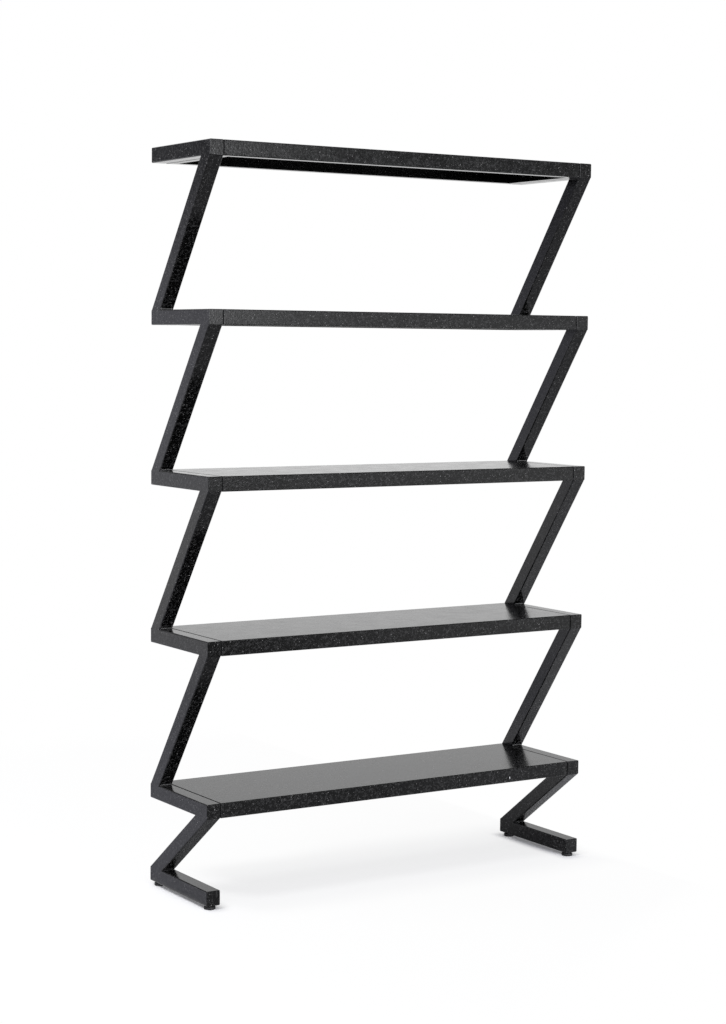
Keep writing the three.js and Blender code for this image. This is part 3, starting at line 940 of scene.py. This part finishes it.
def pale_floor():
    """White paper. The lamps and the walls light it, and the camera sees it white, with a soft
    shadow between the side frames. Parts of it are painted dim for the gloss, and some for the
    light that it throws back: painted shade on the paper, with a painted bluish tint to the left
    in the gloss."""
    made = bpy.data.materials.new("pale_floor")
    tree = Tree(made)
    rays = tree.node("ShaderNodeLightPath").outputs
    glossy, diffuse = rays["Is Glossy Ray"], rays["Is Diffuse Ray"]
    spot = tree.place()
    x, y = tree.parts(spot)["X"], tree.parts(spot)["Y"]
    from_middle, from_axis = tree.math("ABSOLUTE", x), tree.math("ABSOLUTE", y)
    away = tree.length(spot)
    across, inward = tree.along(spot, ACROSS_VIEW), tree.along(spot, INTO_VIEW)

    # Painted shade for the gloss: it sees a floor painted dark at the front left, dimmer to the
    # left, at the near right and under the shelves, and white behind the object.
    front_floor = tree.highest(
        tree.ramp(across, -0.9, 0.9, 0.12, 1.0),
        tree.ramp(y, -0.7, -0.1, 0.12, 0.95),
        tree.ramp(away, 0.8, 3.5, 0.5, 0.12),
    )
    to_left = tree.math("LESS_THAN", x, -0.64)
    beside = tree.ramp(x, -8.0, -0.7, 1.0, 0.66, smooth=False)
    beside = tree.node("ShaderNodeMix", {0: to_left, 2: 1.0, 3: beside}).outputs[0]
    near_right = tree.product(
        tree.ramp(across, 0.95, 1.25, 0.0, 0.42), tree.ramp(away, 2.6, 3.2, 1.0, 0.0)
    )
    painted_shade_under_shelf = tree.product(
        tree.ramp(from_middle, 0.30, 0.44, 0.6, 0.5),
        tree.ramp(from_middle, 0.56, 0.62, 1.0, 0.0),
        tree.ramp(y, -0.42, -0.25),
        tree.ramp(y, 0.15, 0.35, 1.0, 0.32),
        tree.ramp(y, 0.9, 1.3, 1.0, 0.0),
    )
    painted_gloss_floor = tree.product(
        front_floor, tree.math("SUBTRACT", beside, near_right), tree.rest(painted_shade_under_shelf)
    )
    # Painted shade in the paper's colour: all of the above for the gloss, the front patch for
    # bounced light.
    dim = tree.total(
        tree.product(glossy, tree.rest(painted_gloss_floor)), tree.product(diffuse, tree.rest(front_floor))
    )
    # A painted bluish tint in the paper, to the left and for the gloss only.
    sheet = tree.mix(tree.product(glossy, to_left), grey(PAPER), grey(PAPER, (0.98, 0.98, 1.06)))
    paper = tree.node("ShaderNodeBsdfDiffuse", {"Color": tree.mix(dim, sheet, grey(0.0))})
    white = tree.node("ShaderNodeEmission", {"Strength": 1.0})

    # The camera sees the lit paper show through the white most between the side frames, and all
    # but fully where the foot bars stand.
    by_eye = tree.highest(
        tree.ramp(away, 0.9, 2.4, SHADED, 1.0),
        tree.ramp(x, 0.60, 0.72, SHADED, 1.0),
        tree.ramp(inward, -0.95, -0.5, 1.0, SHADED),
        tree.ramp(y, -0.34, -0.14, SHADE_EDGE, SHADED),
        tree.ramp(y, 0.08, 0.36, SHADED, SHADE_EDGE),
    )
    beside_bar = tree.math("ABSOLUTE", tree.math("SUBTRACT", from_middle, MM * FRAME_OFFSET))
    contact = tree.product(
        tree.ramp(beside_bar, 0.012, 0.05, 0.85, 0.0), tree.ramp(from_axis, 0.15, 0.20, 1.0, 0.0)
    )
    by_eye = tree.product(rays["Is Camera Ray"], tree.product(by_eye, tree.rest(contact)))
    far_off = tree.ramp(away, 2.5, 6.0, 0.0, tree.product(painted_gloss_floor, 0.9))
    mirrored = tree.product(tree.highest(glossy, rays["Is Transmission Ray"]), far_off)
    seen = tree.highest(by_eye, mirrored)
    blend = tree.node("ShaderNodeMixShader", {0: seen, 1: paper.outputs[0], 2: white.outputs[0]})
    tree.node("ShaderNodeOutputMaterial", {"Surface": blend.outputs[0]})
    return made


def sine(degrees):
    return math.sin(math.radians(degrees))


def towards(tree, looking, azimuth, elevation, inner, outer):
    """1 within an angle of a direction, and 0 beyond a wider one. Azimuth is from +Y towards +X, in
    degrees."""
    a, e = math.radians(azimuth), math.radians(elevation)
    aim = (math.sin(a) * math.cos(e), math.cos(a) * math.cos(e), math.sin(e))
    near = tree.along(looking, aim)
    return tree.ramp(near, math.cos(math.radians(outer)), math.cos(math.radians(inner)))


def white_studio():
    """A grey room with two softboxes and a low window, which lights the object and shows in its
    gloss. The camera sees white all round, and the gloss sees white where the backdrop is."""
    made = bpy.data.worlds.new("studio")
    tree = Tree(made)
    rays = tree.node("ShaderNodeLightPath").outputs
    looking = tree.node("ShaderNodeTexCoord").outputs["Generated"]
    rise = tree.parts(looking)["Z"]
    rightward = tree.ramp(tree.parts(looking)["X"], -0.6, 0.0)

    wall = tree.product(
        tree.ramp(rise, sine(0.5), sine(5), 1.3, 0.28),
        tree.ramp(rightward, 0.0, 1.0, 0.62, 1.0, smooth=False),
    )
    front_box = tree.product(towards(tree, looking, 212, 27, 14, 48), 2.8)
    back_box = tree.product(towards(tree, looking, 20, 48, 12, 34), 1.2)
    window = tree.product(
        towards(tree, looking, 172, -1, 14, 22.5), tree.ramp(rise, sine(-1.8), sine(0.4), 0.0, 10.0)
    )
    studio = tree.total(wall, front_box, back_box, window)
    studio = tree.product(studio, tree.rest(tree.product(rays["Is Diffuse Ray"], NOT_SPREAD)))
    tint = tree.mix(rightward, (0.92, 0.92, 1.05, 1), (0.97, 0.98, 1.0, 1))
    light = tree.node("ShaderNodeBackground", {"Color": tint, "Strength": studio})

    white = tree.node("ShaderNodeBackground", {"Color": grey(1), "Strength": 1.0})
    backdrop = tree.product(
        towards(tree, looking, 32, 2, 42, 60), tree.ramp(rise, sine(5), sine(10.5), 1.0, 0.62)
    )
    mirrored = tree.highest(rays["Is Glossy Ray"], rays["Is Transmission Ray"])
    seen = tree.highest(rays["Is Camera Ray"], tree.product(mirrored, backdrop))
    blend = tree.node("ShaderNodeMixShader", {0: seen, 1: light.outputs[0], 2: white.outputs[0]})
    tree.node("ShaderNodeOutputWorld", {"Surface": blend.outputs[0]})
    return made


def softbox(name, place, side, power):
    """A square lamp that is aimed at the middle of the floor."""
    data = bpy.data.lights.new(name, "AREA")
    data.size, data.energy = side, power
    lamp = bpy.data.objects.new(name, data)
    lamp.location = place
    lamp.rotation_mode = "QUATERNION"
    lamp.rotation_quaternion = (-Vector(place)).to_track_quat("-Z", "Y")
    lamp.visible_camera = False
    bpy.context.scene.collection.objects.link(lamp)


floor_mesh = bpy.data.meshes.new("floor")
floor_corners = [(FLOOR_REACH * sx, FLOOR_REACH * sy, 0) for sx, sy in CORNERS]
floor_mesh.from_pydata(floor_corners, [], [(0, 1, 2, 3)])
floor_mesh.materials.append(pale_floor())
floor = bpy.data.objects.new("floor", floor_mesh)
bpy.context.scene.collection.objects.link(floor)
bpy.context.scene.world = white_studio()
softbox("key", (-3.29, -0.98, 3.64), side=0.98, power=90)
softbox("side", (-2.56, 1.355, 4.08), side=1.24, power=46)

bpy.context.scene.view_settings.view_transform = "Standard"
